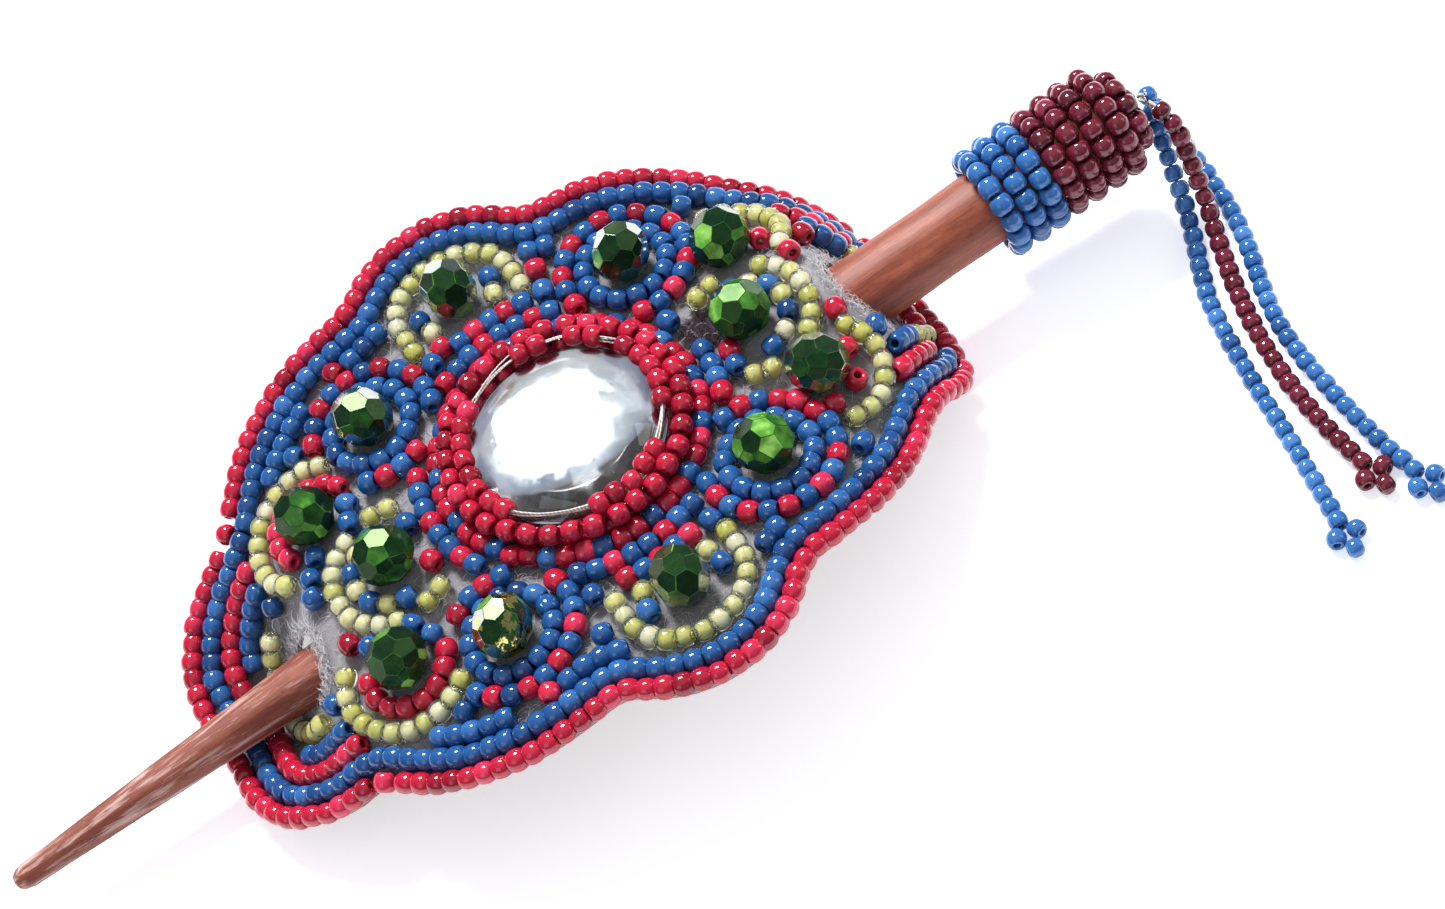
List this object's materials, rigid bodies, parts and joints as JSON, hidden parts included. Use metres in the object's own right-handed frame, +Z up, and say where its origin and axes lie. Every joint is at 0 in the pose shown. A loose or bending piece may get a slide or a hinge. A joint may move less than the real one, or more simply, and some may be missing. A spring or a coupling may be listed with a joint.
{
  "type": "decorative hair pin",
  "caption": "Arched oval hair cover sewn with seed beads, faceted stones and a domed mirror, held by a tapered wooden stick with a beaded cap and tassel.",
  "frame": {"origin": "middle of the pin without its tassel strands, on the table it lies on", "axes": "+X along the stick towards its beaded cap, +Y towards the edge away from the tassel, +Z up out of the mirror"},
  "size_m": [0.1407, 0.0856, 0.0222],
  "materials": {
    "brown_leather": "matte grain",
    "grey_card": "matte",
    "grey_felt": "fuzzy",
    "mirror_foil": "polished",
    "clear_glass": "polished",
    "red_glass": "glossy, opaque",
    "blue_glass": "glossy, opaque",
    "light_blue_glass": "glossy, opaque",
    "yellow_glass": "glossy, colour-lined",
    "burgundy_glass": "glossy, opaque",
    "green_glass": "fire-polished facets",
    "varnished_wood": "satin varnish",
    "white_thread": "matt"
  },
  "bodies": {
    "panel": {"leather_backing": "brown_leather", "card_stiffener": "grey_card", "felt_foundation": "grey_felt", "mirror_foil": "mirror_foil", "glass_dome": "clear_glass", "bezel_lower_beads": "red_glass", "bezel_middle_beads": "red_glass", "bezel_upper_beads": "red_glass", "mirror_ring_inner_red": "red_glass", "mirror_ring_inner_blue": "blue_glass", "mirror_ring_outer_red": "red_glass", "mirror_ring_outer_blue": "blue_glass", "edge_beads": "red_glass", "border_beads": "blue_glass", "side_stones": "green_glass", "top_stones": "green_glass", "corner_stones": "green_glass", "shoulder_stones": "green_glass", "corner_ring_inner": "blue_glass", "corner_ring_outer_red": "red_glass", "corner_ring_outer_blue": "blue_glass", "shoulder_arc_red": "red_glass", "shoulder_arc_yellow": "yellow_glass", "side_arc_yellow": "yellow_glass", "side_beads_yellow": "yellow_glass", "side_beads_blue": "blue_glass", "top_arc_yellow": "yellow_glass", "top_beads_yellow": "yellow_glass", "top_beads_blue": "blue_glass", "hole_arc_yellow": "yellow_glass", "tab_row_red": "red_glass", "tab_row_blue": "blue_glass", "filler_beads_blue": "blue_glass", "filler_beads_red": "red_glass"},
    "stick": {"stick": "varnished_wood", "cap_beads_blue": "light_blue_glass", "cap_beads_burgundy": "burgundy_glass", "cap_end_beads": "burgundy_glass"},
    "tassel": {"tassel_knot": "white_thread"},
    "front_strand": {"thread_front": "white_thread", "strand_front": "light_blue_glass", "strand_end_front": "light_blue_glass"},
    "middle_strand": {"thread_middle": "white_thread", "strand_middle": "burgundy_glass", "strand_end_middle": "burgundy_glass"},
    "back_strand": {"thread_back": "white_thread", "strand_back": "light_blue_glass", "strand_end_back": "light_blue_glass"}
  },
  "joints": [
    {"name": "stick_slide", "type": "slide", "parent": "panel", "child": "tassel", "axis": [0.9987, 0, 0.0506], "range_m": [-0.001, 0.115]},
    {"name": "stick_turn", "type": "hinge", "parent": "tassel", "child": "stick", "pos_m": [0.00105, 0, 0.0089], "axis": [0.9987, 0, 0.0506], "continuous": true},
    {"name": "middle_strand_swing", "type": "hinge", "parent": "tassel", "child": "middle_strand", "pos_m": [0.06826, 0, 0.0123], "axis": [0, 0, 1], "range_deg": [-7, 7]},
    {"name": "front_strand_swing", "type": "hinge", "parent": "middle_strand", "child": "front_strand", "pos_m": [0.06826, 0, 0.0123], "axis": [0, 0, 1], "range_deg": [-6, 0]},
    {"name": "back_strand_swing", "type": "hinge", "parent": "middle_strand", "child": "back_strand", "pos_m": [0.06826, 0, 0.0123], "axis": [0, 0, 1], "range_deg": [0, 6]}
  ]
}
